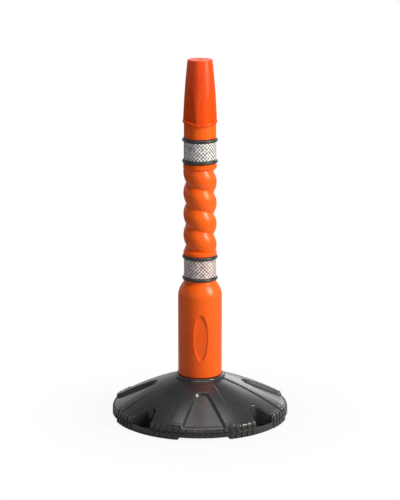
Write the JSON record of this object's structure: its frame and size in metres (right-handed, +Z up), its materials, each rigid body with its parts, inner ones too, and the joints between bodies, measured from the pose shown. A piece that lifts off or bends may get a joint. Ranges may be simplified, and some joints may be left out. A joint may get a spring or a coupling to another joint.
{
  "type": "plastic chain stanchion",
  "caption": "Free-standing orange barrier post: blow-moulded post with twisted middle, reflective bands between rubber rings and a pull-off cap, on a weighted round base with hand grips.",
  "frame": {"origin": "on the floor, under the middle of the round base", "axes": "+Z up along the post; -Y is the front, the side with the oval recess"},
  "size_m": [0.49, 0.49, 1],
  "materials": {
    "base_plastic": "glossy moulded charcoal plastic",
    "ballast_rubber": "rough recycled rubber compound",
    "inner_plastic": "matt moulded plastic",
    "screw_steel": "zinc-plated steel",
    "foot_rubber": "matt black rubber",
    "post_plastic": "satin safety-orange polyethylene",
    "reflective_sheet": "silver prismatic reflective sheeting",
    "ring_rubber": "smooth black rubber",
    "cap_plastic": "soft translucent red-orange plastic"
  },
  "bodies": {
    "base": {"base_cover": "base_plastic", "base_tray": "base_plastic", "ballast_ring": "ballast_rubber", "post_socket": "inner_plastic", "cover_screws": "screw_steel", "socket_screws": "screw_steel", "foot_pad_1": "foot_rubber", "foot_pad_2": "foot_rubber", "foot_pad_3": "foot_rubber", "foot_pad_4": "foot_rubber"},
    "post": {"post_body": "post_plastic", "reflective_band_lower": "reflective_sheet", "reflective_band_upper": "reflective_sheet", "rubber_ring_1": "ring_rubber", "rubber_ring_2": "ring_rubber", "rubber_ring_3": "ring_rubber", "rubber_ring_4": "ring_rubber"},
    "cap": {"cap": "cap_plastic"}
  },
  "joints": [
    {"name": "post_lift", "type": "slide", "parent": "base", "child": "post", "axis": [0, 0, 1], "range_m": [0, 0.115]},
    {"name": "cap_lift", "type": "slide", "parent": "post", "child": "cap", "axis": [0, 0, 1], "range_m": [0, 0.125]}
  ]
}
